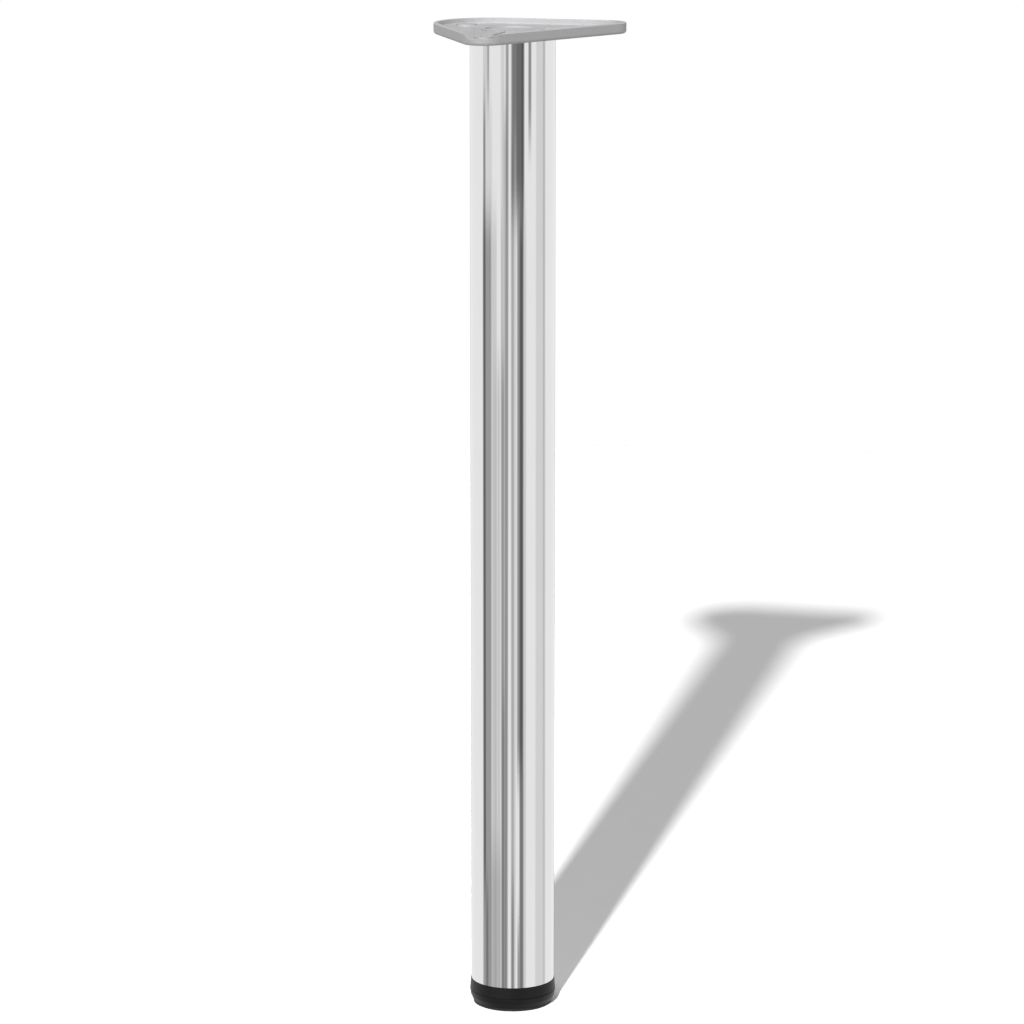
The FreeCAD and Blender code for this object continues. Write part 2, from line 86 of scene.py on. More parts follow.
class Number:
    """A socket of plain numbers that adds a Math node when it is used in an expression."""

    def __init__(self, graph: "Graph", socket: bpy.types.NodeSocket) -> None:
        """Keeps the socket and the graph that holds it."""
        self.graph = graph
        self.socket = socket

    def _maths(self, operation: str, *values: "Number | float") -> "Number":
        """Adds one Math node and gives its result."""
        node = self.graph.node("ShaderNodeMath", {"operation": operation}, dict(enumerate(values)))
        return Number(self.graph, node.outputs[0])

    def __add__(self, other: "Number | float") -> "Number":
        """This number plus another."""
        return self._maths("ADD", self, other)

    def __radd__(self, other: float) -> "Number":
        """A plain number plus this one."""
        return self._maths("ADD", other, self)

    def __sub__(self, other: "Number | float") -> "Number":
        """This number less another."""
        return self._maths("SUBTRACT", self, other)

    def __rsub__(self, other: float) -> "Number":
        """A plain number less this one."""
        return self._maths("SUBTRACT", other, self)

    def __mul__(self, other: "Number | float") -> "Number":
        """This number times another."""
        return self._maths("MULTIPLY", self, other)

    def __rmul__(self, other: float) -> "Number":
        """A plain number times this one."""
        return self._maths("MULTIPLY", other, self)

    def __truediv__(self, other: "Number | float") -> "Number":
        """This number divided by another."""
        return self._maths("DIVIDE", self, other)

    def __neg__(self) -> "Number":
        """This number with its sign turned."""
        return self._maths("MULTIPLY", self, -1.0)

    def __abs__(self) -> "Number":
        """This number without its sign."""
        return self._maths("ABSOLUTE", self)

    def power(self, exponent: float) -> "Number":
        """This number to a power."""
        return self._maths("POWER", self, exponent)

    def degrees(self) -> "Number":
        """This angle in degrees."""
        return self._maths("DEGREES", self)

    def arc_sine(self) -> "Number":
        """The angle in radians whose sine this is."""
        return self._maths("ARCSINE", self)

    def angle_with(self, other: "Number | float") -> "Number":
        """The angle in radians whose tangent is this number over the other."""
        return self._maths("ARCTAN2", self, other)

    def length_with(self, other: "Number") -> "Number":
        """The length of the flat vector of this number and the other."""
        return (self * self + other * other).power(0.5)

    def over(self, low: float, high: float) -> "Number":
        """A smooth step from 0 at low to 1 at high, or the other way where high is the lower."""
        node = self.graph.node(
            "ShaderNodeMapRange",
            {"interpolation_type": "SMOOTHSTEP", "clamp": True},
            {0: self, 1: low, 2: high, 3: 0.0, 4: 1.0},
        )
        return Number(self.graph, node.outputs[0])


class Graph:
    """The node tree of one material or of the world."""

    def __init__(self, tree: bpy.types.NodeTree) -> None:
        """Empties the tree and keeps it."""
        self.tree = tree
        tree.nodes.clear()

    def feed(self, socket: bpy.types.NodeSocket, value: Any) -> None:
        """Links a socket to what feeds it, or sets its constant.

        Args:
            socket: the input socket.
            value: a Number, another node's output socket, a number, or a tuple for a colour or vector.
        """
        if isinstance(value, Number):
            self.tree.links.new(value.socket, socket)
        elif isinstance(value, bpy.types.NodeSocket):
            self.tree.links.new(value, socket)
        else:
            socket.default_value = value

    def node(
        self,
        kind: str,
        settings: dict[str, Any] | None = None,
        inputs: dict[int | str, Any] | None = None,
    ) -> bpy.types.Node:
        """Adds a node, with its settings made before its sockets are fed.

        Args:
            kind: the node's type.
            settings: its properties, such as a Math node's operation.
            inputs: values or links by the socket's number or name.

        Returns:
            The new node.
        """
        made = self.tree.nodes.new(kind)
        for name, value in (settings or {}).items():
            setattr(made, name, value)
        for key, value in (inputs or {}).items():
            self.feed(made.inputs[key], value)
        return made

    def noise(
        self, place: bpy.types.NodeSocket, scale: float, detail: float = 2.0, rough: float = 0.5
    ) -> Number:
        """Smooth noise from about 0.2 to 0.8 around a mean of 0.5.

        Args:
            place: the vector that the noise is read at.
            scale: how many features fit a metre of that vector.
            detail: octaves of finer noise on it.
            rough: how strong the finer noise is.

        Returns:
            The noise's level.
        """
        made = self.node(
            "ShaderNodeTexNoise",
            {"noise_dimensions": "3D"},
            {"Vector": place, "Scale": scale, "Detail": detail, "Roughness": rough},
        )
        return Number(self, made.outputs[0])

    def stretched(
        self, place: bpy.types.NodeSocket, stretch: Sequence[float]
    ) -> bpy.types.NodeSocket:
        """The place with each axis multiplied, so that a small factor makes long features."""
        made = self.node("ShaderNodeMapping", None, {"Vector": place, "Scale": tuple(stretch)})
        return made.outputs[0]

    def tint(self, share: Number, first: Sequence[float], second: Sequence[float]) -> bpy.types.NodeSocket:
        """The first colour where share is 0 and the second where it is 1."""
        made = self.node(
            "ShaderNodeMix",
            {"data_type": "RGBA"},
            {0: share, 6: (*first, 1.0), 7: (*second, 1.0)},
        )
        return made.outputs[2]

    def blend(
        self, share: Number, under: bpy.types.NodeSocket, over: Sequence[float]
    ) -> bpy.types.NodeSocket:
        """A linked colour where share is 0, and a plain colour over it where share is 1."""
        made = self.node("ShaderNodeMix", {"data_type": "RGBA"}, {0: share, 6: under, 7: (*over, 1.0)})
        return made.outputs[2]

    def grey(self, level: Number) -> bpy.types.NodeSocket:
        """A grey of a level."""
        return self.node("ShaderNodeCombineXYZ", None, {0: level, 1: level, 2: level}).outputs[0]

    def shade(self, colour: bpy.types.NodeSocket, level: Number) -> bpy.types.NodeSocket:
        """The colour multiplied by a grey level."""
        made = self.node(
            "ShaderNodeMix",
            {"data_type": "RGBA", "blend_type": "MULTIPLY"},
            {0: 1.0, 6: colour, 7: self.grey(level)},
        )
        return made.outputs[2]

    def relief(
        self, height: Number, depth: float, under: bpy.types.NodeSocket | None = None
    ) -> bpy.types.NodeSocket:
        """The normal of a surface whose height varies.

        Args:
            height: the height, from 0 to about 1.
            depth: what a height of 1 means in metres.
            under: a normal that this relief lies on.

        Returns:
            The bumped normal.
        """
        inputs: dict[int | str, Any] = {"Height": height, "Distance": depth, "Strength": 1.0}
        if under is not None:
            inputs["Normal"] = under
        return self.node("ShaderNodeBump", None, inputs).outputs[0]


@dataclass
class Surface:
    """A material's graph, with what it knows of the shaded point.

    The radius is the distance from the leg's axis. Upward and outward say how far the face
    looks up and away from the axis, from -1 to 1.
    """

    graph: Graph
    place: bpy.types.NodeSocket
    z: Number
    radius: Number
    upward: Number
    outward: Number

    @classmethod
    def of(cls, material: bpy.types.Material) -> "Surface":
        """Starts the graph of a material."""
        material.use_nodes = True
        graph = Graph(material.node_tree)
        coordinates = graph.node("ShaderNodeTexCoord")
        place = coordinates.outputs["Object"]
        split = graph.node("ShaderNodeSeparateXYZ", None, {0: place})
        x, y, z = (Number(graph, split.outputs[i]) for i in range(3))
        facing = graph.node("ShaderNodeSeparateXYZ", None, {0: coordinates.outputs["Normal"]})
        across, along, upward = (Number(graph, facing.outputs[i]) for i in range(3))
        radius = x.length_with(y)
        outward = (across * x + along * y) / (radius + AXIS_GUARD)
        return cls(graph, place, z, radius, upward, outward)

    def finish(self, **sockets: Any) -> None:
        """Adds the shader and the output.

        Args:
            sockets: values or links of the shader's sockets, with _ for the blanks in their names.
        """
        named = {name.replace("_", " "): value for name, value in sockets.items()}
        shader = self.graph.node("ShaderNodeBsdfPrincipled", None, named)
        self.graph.node("ShaderNodeOutputMaterial", None, {"Surface": shader.outputs[0]})


class Finish(Protocol):
    """What every finish can do."""

    name: str

    def paint(self, surface: Surface) -> None:
        """Draws the finish into a material's graph."""


def material_of(finish: Finish) -> bpy.types.Material:
    """The material of a finish, made once and then shared by its pieces."""
    found = bpy.data.materials.get(finish.name)
    if found is None:
        found = bpy.data.materials.new(finish.name)
        finish.paint(Surface.of(found))
    return found


@dataclass(frozen=True)
class MirrorChrome:
    """Bright chrome on a polished steel tube, bare and dull on the tube's inside."""

    name: str = "mirror_chrome"
    colour: tuple[float, float, float] = (0.79, 0.79, 0.80)
    bare_colour: tuple[float, float, float] = (0.30, 0.29, 0.28)
    roughness: float = 0.035
    bare_roughness: float = 0.45
    bore_radius: float = 29.2 * MM
    bore_fade: float = 0.2 * MM
    wipe_scale: float = 38.0
    streak_scale: float = 900.0
    streak_depth: float = 0.0009 * MM
    wave_scale: float = 90.0
    wave_depth: float = 0.010 * MM
    dent_scale: float = 240.0

    def paint(self, surface: Surface) -> None:
        """Long polishing waves, fine streaks along the tube and faint wiped marks."""
        graph = surface.graph
        bare = surface.radius.over(self.bore_radius + self.bore_fade, self.bore_radius)
        longish = graph.stretched(surface.place, (1.0, 1.0, 0.3))
        long = graph.stretched(surface.place, (1.0, 1.0, 0.10))
        longest = graph.stretched(surface.place, (1.0, 1.0, 0.012))
        wiped = graph.noise(longish, self.wipe_scale, 4.0, 0.6)
        streaks = graph.noise(longest, self.streak_scale, 3.0, 0.6)
        waves = graph.noise(long, self.wave_scale, 1.0, 0.4)
        dents = graph.noise(surface.place, self.dent_scale, 0.0)
        colour = graph.tint(bare, self.colour, self.bare_colour)
        rough = self.roughness * (0.55 + 0.9 * wiped) + streaks.over(0.58, 0.75) * 0.05
        rough = rough * (1 - bare) + bare * self.bare_roughness
        normal = graph.relief(waves + dents * 0.12, self.wave_depth)
        normal = graph.relief(streaks, self.streak_depth, normal)
        surface.finish(
            Base_Color=graph.shade(colour, 0.97 + 0.06 * wiped),
            Metallic=1.0,
            Roughness=rough,
            Normal=normal,
        )


@dataclass(frozen=True)
class SatinCasting:
    """Die-cast metal, tumbled satin all over and ground bright on the faces that seat, with painted shade
    on its side walls and undersides.
    """

    name: str = "satin_casting"
    colour: tuple[float, float, float] = (0.71, 0.71, 0.72)
    shadow_colour: tuple[float, float, float] = (0.64, 0.64, 0.65)
    # Painted shade: the darker colour that side walls and undersides take
    side_painted_shade_colour: tuple[float, float, float] = (0.52, 0.52, 0.525)
    ground_colour: tuple[float, float, float] = (0.73, 0.73, 0.74)
    roughness: float = 0.70
    ground_roughness: float = 0.60
    metallic: float = 0.38
    specular: float = 0.20
    # How much of that painted shade the tray's inner walls take
    inner_wall_painted_shade_share: float = 0.5
    rim_top: float = 710.0 * MM
    ground_start: float = 0.35 * MM
    ground_full: float = 0.12 * MM
    grain_scale: float = 2600.0
    grain_depth: float = 0.008 * MM
    mottle_scale: float = 240.0
    flow_scale: float = 60.0
    flow_depth: float = 0.02 * MM
    line_scale: float = 1500.0

    def paint(self, surface: Surface) -> None:
        """Cast grain, cold flow marks, painted shade on the side walls and undersides (half as much on the
        tray's inner walls), and a rim rubbed bright by the tabletop.
        """
        graph = surface.graph
        flowing = graph.stretched(surface.place, (1.0, 0.35, 1.0))
        straight = graph.stretched(surface.place, (1.0, 0.03, 1.0))
        grain = graph.noise(surface.place, self.grain_scale, 3.0, 0.65)
        mottle = graph.noise(surface.place, self.mottle_scale, 4.0, 0.6)
        flow = graph.noise(flowing, self.flow_scale, 3.0, 0.55)
        lines = graph.noise(straight, self.line_scale, 2.0, 0.5)
        ground = surface.z.over(self.rim_top - self.ground_start, self.rim_top - self.ground_full)
        rubbed = ground * (0.7 + 0.6 * (lines - 0.5))
        cloudy = graph.tint(flow.over(0.30, 0.72), self.shadow_colour, self.colour)
        # Painted shade: faces that don't look up, outer walls and undersides, take a darker colour; the
        # tray's inner walls take half of it
        side = 1 - surface.upward.over(0.25, 0.85)
        outer = surface.outward.over(0.15, 0.60)
        under = surface.upward.over(-0.2, -0.8)
        painted_side_shade = side * (1 - self.inner_wall_painted_shade_share * (1 - outer) * (1 - under))
        bright = graph.blend(painted_side_shade, cloudy, self.side_painted_shade_colour)
        bright = graph.blend(rubbed, bright, self.ground_colour)
        pits = grain.over(0.62, 0.74) * (1 - ground)
        level = 0.93 + 0.14 * mottle - pits * 0.12
        rough = self.roughness + (mottle - 0.5) * 0.22 + pits * 0.15
        rough = rough + ground * (self.ground_roughness - self.roughness)
        normal = graph.relief(flow * 0.6 + mottle * 0.25, self.flow_depth)
        normal = graph.relief(grain * (1 - ground * 0.7) + lines * ground * 0.4, self.grain_depth, normal)
        surface.finish(
            Base_Color=graph.shade(bright, level),
            Metallic=self.metallic,
            Roughness=rough,
            Normal=normal,
            Specular_IOR_Level=self.specular,
        )


@dataclass(frozen=True)
class TurnedSteel:
    """Zinc-plated steel with turning marks round its axis."""

    name: str = "turned_steel"
    colour: tuple[float, float, float] = (0.58, 0.59, 0.61)
    dull_colour: tuple[float, float, float] = (0.44, 0.44, 0.43)
    roughness: float = 0.27
    cloud_scale: float = 320.0
    ring_scale: float = 5200.0
    grain_scale: float = 4200.0
    mark_depth: float = 0.006 * MM

    def paint(self, surface: Surface) -> None:
        """Cloudy plating over fine rings."""
        graph = surface.graph
        round_axis = graph.stretched(surface.place, (0.04, 0.04, 1.0))
        clouds = graph.noise(surface.place, self.cloud_scale, 4.0, 0.6)
        rings = graph.noise(round_axis, self.ring_scale, 2.0)
        grain = graph.noise(surface.place, self.grain_scale, 2.0)
        colour = graph.tint(clouds.over(0.35, 0.7), self.dull_colour, self.colour)
        surface.finish(
            Base_Color=graph.shade(colour, 0.92 + 0.16 * rings),
            Metallic=1.0,
            Roughness=self.roughness + (clouds - 0.5) * 0.25 + (grain - 0.5) * 0.08,
            Normal=graph.relief(rings + grain * 0.4, self.mark_depth),
        )


@dataclass(frozen=True)
class GrainedPlastic:
    """Black moulded plastic with a spark-eroded grain, rubbed a little paler at its edges."""

    name: str = "grained_plastic"
    colour: tuple[float, float, float] = (0.008, 0.008, 0.0083)
    rubbed_colour: tuple[float, float, float] = (0.022, 0.022, 0.0225)
    roughness: float = 0.44
    specular: float = 0.24
    grain_scale: float = 3200.0
    grain_depth: float = 0.010 * MM
    pebble_scale: float = 2300.0
    sink_scale: float = 70.0
    sink_depth: float = 0.03 * MM
    scuff_scale: float = 160.0
    wear_share: float = 0.35
    wear_start: float = 26.0 * MM
    wear_full: float = 30.0 * MM

    def paint(self, surface: Surface) -> None:
        """Fine grain, faint sinks from moulding and a few scuffs round the foot."""
        graph = surface.graph
        squat = graph.stretched(surface.place, (1.0, 1.0, 5.0))
        grain = graph.noise(surface.place, self.grain_scale, 2.0, 0.6)
        cells = graph.node(
            "ShaderNodeTexVoronoi",
            {"feature": "F1"},
            {"Vector": surface.place, "Scale": self.pebble_scale},
        )
        pebbles = Number(graph, cells.outputs[0])
        sinks = graph.noise(surface.place, self.sink_scale, 1.0)
        scuffs = graph.noise(squat, self.scuff_scale, 5.0, 0.7)
        worn = scuffs.over(0.60, 0.72) * surface.radius.over(self.wear_start, self.wear_full)
        sunk = graph.relief(sinks, self.sink_depth)
        surface.finish(
            Base_Color=graph.tint(worn * self.wear_share, self.colour, self.rubbed_colour),
            Roughness=self.roughness + (grain - 0.5) * 0.20 + worn * 0.12,
            Normal=graph.relief(grain + pebbles * 0.7, self.grain_depth, sunk),
            Specular_IOR_Level=self.specular,
        )


@dataclass(frozen=True)
class PadRubber:
    """Dark matte rubber with a fine bloom, and dusty near the floor."""

    name: str = "pad_rubber_matte"
    colour: tuple[float, float, float] = (0.018, 0.018, 0.018)
    dust_colour: tuple[float, float, float] = (0.085, 0.082, 0.078)
    roughness: float = 0.72
    mottle_scale: float = 420.0
    grain_scale: float = 2800.0
    grain_depth: float = 0.014 * MM
    dust_height: float = 0.7 * MM

    def paint(self, surface: Surface) -> None:
        """Soft mottle, and dust where the pad meets the floor."""
        graph = surface.graph
        mottle = graph.noise(surface.place, self.mottle_scale, 5.0, 0.65)
        grain = graph.noise(surface.place, self.grain_scale, 2.0)
        low = surface.z.over(self.dust_height, 0.0)
        dust = mottle.over(0.50, 0.70) * (0.18 + 0.55 * low)
        surface.finish(
            Base_Color=graph.tint(dust, self.colour, self.dust_colour),
            Roughness=self.roughness + (mottle - 0.5) * 0.2,
            Normal=graph.relief(grain + mottle * 0.6, self.grain_depth),
        )


# Modelling by hand

def deselect() -> None:
    """Leaves nothing selected, in object mode."""
    if bpy.context.mode != "OBJECT":
        bpy.ops.object.mode_set(mode="OBJECT")
    bpy.ops.object.select_all(action="DESELECT")


def take(piece: bpy.types.Object) -> None:
    """Selects one object alone and makes it the active one."""
    deselect()
    piece.select_set(True)
    bpy.context.view_layer.objects.active = piece


def settle(piece: bpy.types.Object) -> None:
    """Moves the object's place, turn and scale into its mesh."""
    take(piece)
    bpy.ops.object.transform_apply(location=True, rotation=True, scale=True)


def apply_modifier(piece: bpy.types.Object, kind: str, **settings: Any) -> None:
    """Adds one modifier with its settings and applies it.

    Args:
        piece: the object it works on.
        kind: the modifier's type.
        settings: its properties.
    """
    take(piece)
    modifier = piece.modifiers.new(kind.lower(), kind)
    for name, value in settings.items():
        setattr(modifier, name, value)
    bpy.ops.object.modifier_apply(modifier=modifier.name)


def pick(piece: bpy.types.Object, kind: str, wanted: Callable[[Any], bool]) -> None:
    """Opens edit mode with the elements selected that pass a test.

    Args:
        piece: the object to edit.
        kind: VERT, EDGE or FACE.
        wanted: says of one vertex, edge or polygon whether it is selected.
    """
    take(piece)
    bpy.ops.object.mode_set(mode="EDIT")
    bpy.ops.mesh.select_mode(type=kind)
    bpy.ops.mesh.select_all(action="DESELECT")
    bpy.ops.object.mode_set(mode="OBJECT")
    mesh = piece.data
    elements = {"VERT": mesh.vertices, "EDGE": mesh.edges, "FACE": mesh.polygons}[kind]
    for element in elements:
        element.select = wanted(element)
    bpy.ops.object.mode_set(mode="EDIT")


def leave_edit() -> None:
    """Goes back to object mode."""
    bpy.ops.object.mode_set(mode="OBJECT")


@dataclass(frozen=True)
class Thread:
    """A metric screw thread, swept from one tooth of its profile."""

    diameter: float
    pitch: float
    low: float
    high: float
    steps: int = 36
    depth_share: float = 0.60
    crest_share: float = 0.16
    root_share: float = 0.22
    spare_turns: int = 2

    def model(self, name: str) -> bpy.types.Object:
        """Sweeps the tooth up the axis and cuts both ends flat.

        Args:
            name: the new object's name.

        Returns:
            A closed threaded rod on the Z axis, between low and high.
        """
        crest = self.diameter / 2
        root = crest - self.depth_share * self.pitch
        flank = (1 - self.crest_share - self.root_share) / 2 * self.pitch
        start = self.low - self.spare_turns * self.pitch
        root_end = self.root_share * self.pitch
        heights = (0.0, root_end, root_end + flank, self.pitch - flank, self.pitch)
        radii = (root, root, crest, crest, root)
        deselect()
        bpy.ops.mesh.primitive_plane_add(size=self.pitch, location=(0.0, 0.0, 0.0))
        rod = bpy.context.object
        rod.name = name
        rod.data.name = name
        rod.data.clear_geometry()
        points = [(radius, 0.0, start + height) for radius, height in zip(radii, heights)]
        rod.data.from_pydata(points, [(i, i + 1) for i in range(len(points) - 1)], [])
        turns = math.ceil((self.high - self.low) / self.pitch) + 2 * self.spare_turns
        apply_modifier(
            rod, "SCREW", axis="Z", angle=2 * math.pi, screw_offset=self.pitch,
            iterations=turns, steps=self.steps, render_steps=self.steps,
            use_merge_vertices=True, merge_threshold=WELD, use_smooth_shade=False,
        )
        for height, outward in ((self.low, -1.0), (self.high, 1.0)):
            pick(rod, "VERT", lambda vertex: True)
            bpy.ops.mesh.remove_doubles(threshold=2 * WELD)
            bpy.ops.mesh.select_all(action="SELECT")
            bpy.ops.mesh.bisect(
                plane_co=(0.0, 0.0, height), plane_no=(0.0, 0.0, outward),
                use_fill=True, clear_outer=True,
            )
            leave_edit()
        pick(rod, "FACE", lambda face: True)
        bpy.ops.mesh.normals_make_consistent(inside=False)
        leave_edit()
        return rod


# The leg's sub-assemblies

@dataclass
class Assembly:
    """CAD nodes and new pieces that are dressed together."""

    def build(self) -> None:
        """Models nothing, for an assembly whose shapes all come from the frame."""

    def dress_node(self, node: str, finish: Finish) -> None:
        """Gives a CAD node its finish.

        Args:
            node: the CAD node's name.
            finish: the finish that takes every slot of it.
        """
        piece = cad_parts[node]
        for slot in piece.material_slots:
            slot.material = material_of(finish)
        self.report(piece)

    def place_piece(
        self, piece: bpy.types.Object, finish: Finish, body: Body, slot: Slot, *nodes: str
    ) -> None:
        """Dresses a new piece and fixes it to its body.

        Args:
            piece: the finished object.
            finish: its finish.
            body: the body that it rides on.
            slot: the record's material slot; not used.
            nodes: the CAD nodes that it stands for.
        """
        settle(piece)
        piece.data.materials.clear()
        piece.data.materials.append(material_of(finish))
        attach(piece, body.value)
        if nodes:
            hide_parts(*nodes)
        self.report(piece)

    def report(self, piece: bpy.types.Object) -> None:
        """Logs a piece once it is done."""
        log.info("%s: %d faces, %s", piece.name, len(piece.data.polygons), piece.data.materials[0].name)


@dataclass
class MountingHead(Assembly):
    """The cast plate for the tabletop, the hub under it and the screw that clamps the tube on the hub."""

    casting: SatinCasting = SatinCasting()
    steel: TurnedSteel = TurnedSteel()

    def dress(self) -> None:
        """Dresses the casting and its clamp screw."""
        self.dress_node("mounting_plate", self.casting)
        self.dress_node("tube_hub", self.casting)
        self.dress_node("clamp_screw", self.steel)


@dataclass
class TubeShaft(Assembly):
    """The chromed tube."""

    chrome: MirrorChrome = MirrorChrome()

    def dress(self) -> None:
        """Dresses the tube."""
        self.dress_node("leg_tube", self.chrome)


@dataclass
class ScrewFoot(Assembly):
    """The plug in the tube with its captive nut, and the foot that screws out of it."""

    plastic: GrainedPlastic = GrainedPlastic()
    rubber: PadRubber = PadRubber()
    steel: TurnedSteel = TurnedSteel()
    thread_diameter: float = 9.9 * MM
    thread_pitch: float = 1.5 * MM
    thread_low: float = 8.6 * MM
    thread_high: float = 43.6 * MM
    head_low: float = 5.1 * MM
    head_high: float = 9.1 * MM
    head_width: float = 16.0 * MM
    head_inset: float = 0.9 * MM
    head_bevel: float = 0.25 * MM
    tip_radius_low: float = 4.05 * MM
    tip_radius_high: float = 3.3 * MM
    tip_length: float = 0.8 * MM

    def build(self) -> None:
        """Models the threaded spindle of the foot."""
        self.spindle = self.model_spindle()

    def model_spindle(self) -> bpy.types.Object:
        """A hexagon head with softened edges, and a threaded rod that has a plain tip.

        Returns:
            The spindle as one object.
        """
        thread = Thread(self.thread_diameter, self.thread_pitch, self.thread_low, self.thread_high)
        rod = thread.model("threaded_spindle")
        middle = (self.head_low + self.head_high) / 2
        deselect()
        bpy.ops.mesh.primitive_cylinder_add(
            vertices=6,
            radius=self.head_width / math.sqrt(3.0),
            depth=self.head_high - self.head_low,
            location=(0.0, 0.0, middle),
        )
        head = bpy.context.object
        settle(head)
        pick(head, "FACE", lambda face: face.center.z > middle + MM)
        bpy.ops.mesh.inset(thickness=self.head_inset, depth=0.0)
        leave_edit()
        apply_modifier(head, "BEVEL", width=self.head_bevel, segments=2, limit_method="ANGLE")
        deselect()
        bpy.ops.mesh.primitive_cone_add(
            vertices=thread.steps,
            radius1=self.tip_radius_low,
            radius2=self.tip_radius_high,
            depth=self.tip_length,
            location=(0.0, 0.0, self.thread_high + self.tip_length / 2),
        )
        tip = bpy.context.object
        settle(tip)
        deselect()
        for piece in (tip, head, rod):
            piece.select_set(True)
        bpy.context.view_layer.objects.active = rod
        bpy.ops.object.join()
        return rod

    def dress(self) -> None:
        """Dresses the plug, the nut, the cap and the pad, and fixes the spindle to the foot."""
        self.place_piece(self.spindle, self.steel, Body.FOOT, Slot.STEEL, "foot_spindle")
        self.dress_node("tube_plug", self.plastic)
        self.dress_node("spindle_nut", self.steel)
        self.dress_node("foot_cap", self.plastic)
        self.dress_node("foot_pad", self.rubber)


# The studio

@dataclass(frozen=True)
class Card:
    """A dark card hung round the leg, which the chrome mirrors as an upright band.

    Places and widths are in degrees, seen from the leg. The edge is how far a side fades, and
    a lean of 1 moves the card a degree to the right for each degree up.
    """

    azimuth: float
    half_width: float
    shade: float
    edge: float = 3.0
    low: float = NADIR
    high: float = ZENITH
    lean: float = 0.0
    end_fade: float = 0.5

    def light_left(self, azimuth: Number, elevation: Number) -> Number:
        """The share of the light that this card lets through.

        Args:
            azimuth: degrees to the right of the camera, seen from the leg.
            elevation: degrees above the horizon.

        Returns:
            1 away from the card, and 1 less its shade on it.
        """
        centre: Number | float = self.azimuth
        if self.lean:
            centre = centre + self.lean * (elevation - MIDDLE_ELEVATION)
        beside = abs(azimuth - centre)
        full = max(self.half_width - self.edge / 2, 0.0)
        covered = beside.over(self.half_width + self.edge / 2, full)
        if self.high < ZENITH:
            covered = covered * elevation.over(self.high + self.end_fade, self.high - self.end_fade)
        if self.low > NADIR:
            covered = covered * elevation.over(self.low - self.end_fade, self.low + self.end_fade)
        return 1 - covered * self.shade


# The chrome's dark bands: azimuth, half width, shade and edge, then where a card ends or leans
CARDS = (
    # The band down the left side, with its dark rim
    Card(-83.5, 4.0, 0.62, 4.0, low=-16.5, high=-6.0, lean=0.1),
    Card(-76.0, 4.0, 0.45, 4.0, high=-16.5),
    Card(-75.5, 14.0, 0.60, 6.0, high=-7.5, lean=0.15),
    Card(-72.0, 14.0, 0.16, 6.0, low=-7.5, high=-6.0),
    Card(-80.0, 7.0, 0.22, 4.0, low=-6.0),
    Card(-69.5, 3.5, 0.54, 3.0, low=-6.0),
    # The grey between the left band and the middle
    Card(-54.0, 10.0, 0.24, 8.0, high=-7.5),
    Card(-46.0, 8.0, 0.14, 8.0, high=-9.5),
    Card(-48.0, 16.0, 0.25, 8.0, high=-16.0),
    Card(-37.5, 3.5, 0.22, 4.0, high=-9.5),
    # The two narrow lines left of the middle, which darken downwards
    Card(-28.5, 4.0, 0.34, 3.0, high=-7.5),
    Card(-27.0, 4.0, 0.40, 3.0, high=-9.5),
    Card(-26.0, 4.0, 0.33, 3.0, high=-14.0),
    Card(-27.0, 5.0, 0.20, 6.0, low=-7.5),
    Card(-20.0, 5.0, 0.32, 6.0, low=-7.5, high=-6.2),
    Card(-21.0, 3.0, 0.40, 4.0, high=-7.5),
    Card(-16.0, 3.8, 0.60, 5.0, lean=0.25),
    # The line in the middle
    Card(-1.0, 3.5, 0.44, 5.0, high=-6.5),
    Card(4.0, 4.0, 0.22, 4.0, high=-6.5),
    Card(0.0, 4.0, 0.42, 5.0, high=-16.5),
    Card(4.0, 6.0, 0.46, 6.0, low=-6.5),
    # The dark core, widest under the plate
    Card(13.5, 17.5, 0.55, 5.0, low=-7.5),
    Card(20.0, 10.5, 0.60, 6.0, low=-7.5),
    Card(20.0, 8.0, 0.64, 6.0, low=-15.0, high=-7.5),
    Card(26.0, 2.5, 0.35, 3.0, low=-7.5),
    Card(24.0, 5.0, 0.66, 6.0, high=-7.5),
    Card(24.5, 5.5, 0.30, 5.0, high=-15.0),
    Card(16.0, 3.0, 0.60, 4.0, high=-17.0),
    # The pale right side
    Card(32.0, 5.0, 0.24, 4.0, high=-7.5),
    Card(47.0, 4.2, 0.66, 4.0, low=-6.5),
    Card(81.0, 15.0, 0.19, 6.0),
    Card(96.0, 4.5, 0.28, 3.0, lean=-0.4),
    # Behind the leg, hung twice because the azimuth wraps round there
    Card(180.0, 11.0, 0.70, 6.0),
    Card(-180.0, 11.0, 0.70, 6.0),
)


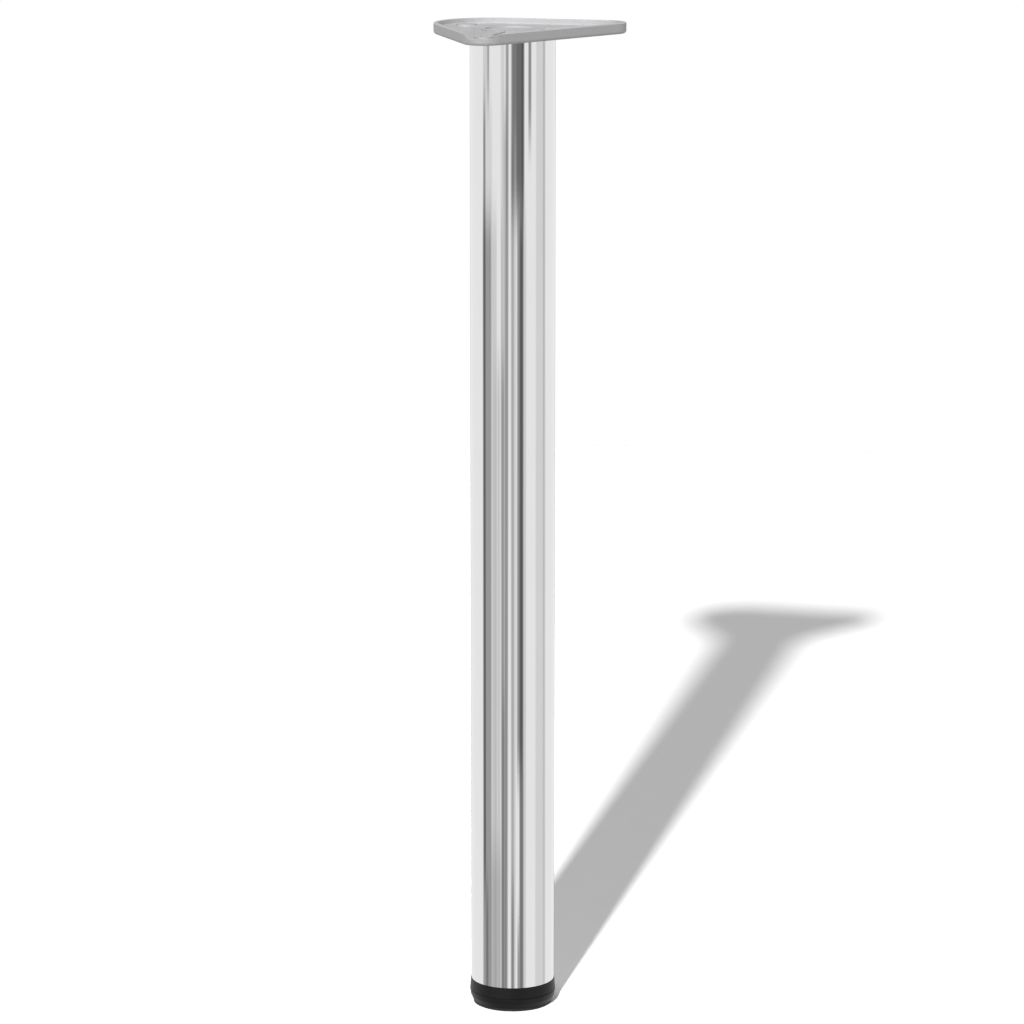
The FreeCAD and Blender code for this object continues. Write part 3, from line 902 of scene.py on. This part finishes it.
@dataclass
class Studio:
    """The floor, the light and the camera of the photograph."""

    floor_radius: float = 2.2
    floor_sides: int = 96
    floor_seen: float = 1.833
    floor_colour: float = 0.55
    ambient: float = 0.243
    mirrored_white: float = 0.97
    lowest_card: float = -82.0
    lowest_fade: float = 1.0
    lamp_place: tuple[float, float, float] = (-0.624, -2.934, 2.41)
    lamp_radius: float = 0.060
    lamp_power: float = 29.9
    camera_place: tuple[float, float, float] = (-0.0005, -3.0, 0.9729)
    camera_pitch: float = 11.49
    camera_lens: float = 150.9
    sensor_width: float = 36.0

    def build(self) -> None:
        """Lays the floor, hangs the lights and sets the camera."""
        self.lay_floor()
        self.light_world()
        self.hang_lamp()
        self.set_camera()

    def lay_floor(self) -> None:
        """A white floor that shows the shadow, and that the chrome doesn't mirror.

        The camera sees it paler than bounced light does, so that it comes out white with the
        shadow's grey on it, and doesn't light the leg from below.
        """
        deselect()
        bpy.ops.mesh.primitive_circle_add(
            vertices=self.floor_sides, radius=self.floor_radius, fill_type="NGON"
        )
        floor = bpy.context.object
        floor.name = "studio_floor"
        floor.visible_glossy = False
        material = bpy.data.materials.new("pale_floor")
        material.use_nodes = True
        graph = Graph(material.node_tree)
        seen = Number(graph, graph.node("ShaderNodeLightPath").outputs["Is Camera Ray"])
        level = seen * (self.floor_seen - self.floor_colour) + self.floor_colour
        paint = graph.node("ShaderNodeBsdfDiffuse", None, {"Color": graph.grey(level)})
        clear = graph.node("ShaderNodeBsdfTransparent")
        below = graph.node("ShaderNodeNewGeometry").outputs["Backfacing"]
        mixed = graph.node(
            "ShaderNodeMixShader", None, {0: below, 1: paint.outputs[0], 2: clear.outputs[0]}
        )
        graph.node("ShaderNodeOutputMaterial", None, {"Surface": mixed.outputs[0]})
        floor.data.materials.append(material)

    def light_world(self) -> None:
        """White to the camera, plain soft light to matte surfaces, and cards to the chrome."""
        world = bpy.data.worlds.new("studio")
        bpy.context.scene.world = world
        world.use_nodes = True
        graph = Graph(world.node_tree)
        direction = graph.node("ShaderNodeTexCoord").outputs["Generated"]
        split = graph.node("ShaderNodeSeparateXYZ", None, {0: direction})
        x, y, z = (Number(graph, split.outputs[i]) for i in range(3))
        azimuth = x.angle_with(-y).degrees()
        elevation = z.arc_sine().degrees()
        carded = Number(graph, graph.node("ShaderNodeValue").outputs[0])
        carded.socket.default_value = 1.0
        for card in CARDS:
            carded = carded * card.light_left(azimuth, elevation)
        hung = elevation.over(self.lowest_card - self.lowest_fade, self.lowest_card + self.lowest_fade)
        mirrored = (1 - hung * (1 - carded)) * self.mirrored_white
        rays = graph.node("ShaderNodeLightPath")
        seen = Number(graph, rays.outputs["Is Camera Ray"])
        glossy = Number(graph, rays.outputs["Is Glossy Ray"])
        unseen = glossy * mirrored + (1 - glossy) * self.ambient
        strength = seen + (1 - seen) * unseen
        white = (1.0, 1.0, 1.0, 1.0)
        light = graph.node("ShaderNodeBackground", None, {"Color": white, "Strength": strength})
        graph.node("ShaderNodeOutputWorld", None, {"Surface": light.outputs[0]})

    def hang_lamp(self) -> None:
        """One near key lamp of even strength, which casts the photograph's widening shadow."""
        deselect()
        bpy.ops.object.light_add(type="POINT", location=self.lamp_place)
        lamp = bpy.context.object
        lamp.name = "key_lamp"
        lamp.visible_camera = False
        lamp.data.shadow_soft_size = self.lamp_radius
        lamp.data.energy = self.lamp_power
        lamp.data.use_nodes = True
        graph = Graph(lamp.data.node_tree)
        even = graph.node("ShaderNodeLightFalloff", None, {"Strength": 1.0}).outputs["Constant"]
        glow = graph.node("ShaderNodeEmission", None, {"Strength": even})
        graph.node("ShaderNodeOutputLight", None, {"Surface": glow.outputs[0]})

    def set_camera(self) -> None:
        """The photograph's camera, a little above the tabletop and looking down at the leg."""
        deselect()
        bpy.ops.object.camera_add(
            location=self.camera_place, rotation=(math.radians(90.0 - self.camera_pitch), 0.0, 0.0)
        )
        camera = bpy.context.object
        camera.name = "photo_camera"
        camera.data.lens = self.camera_lens
        camera.data.sensor_width = self.sensor_width
        bpy.context.scene.camera = camera


def main() -> None:
    """Builds and dresses the leg, then sets the studio round it."""
    bpy.context.scene.view_settings.view_transform = "Standard"
    for assembly in (MountingHead(), TubeShaft(), ScrewFoot()):
        assembly.build()
        assembly.dress()
    Studio().build()
    deselect()


if __name__ == "__main__":
    main()
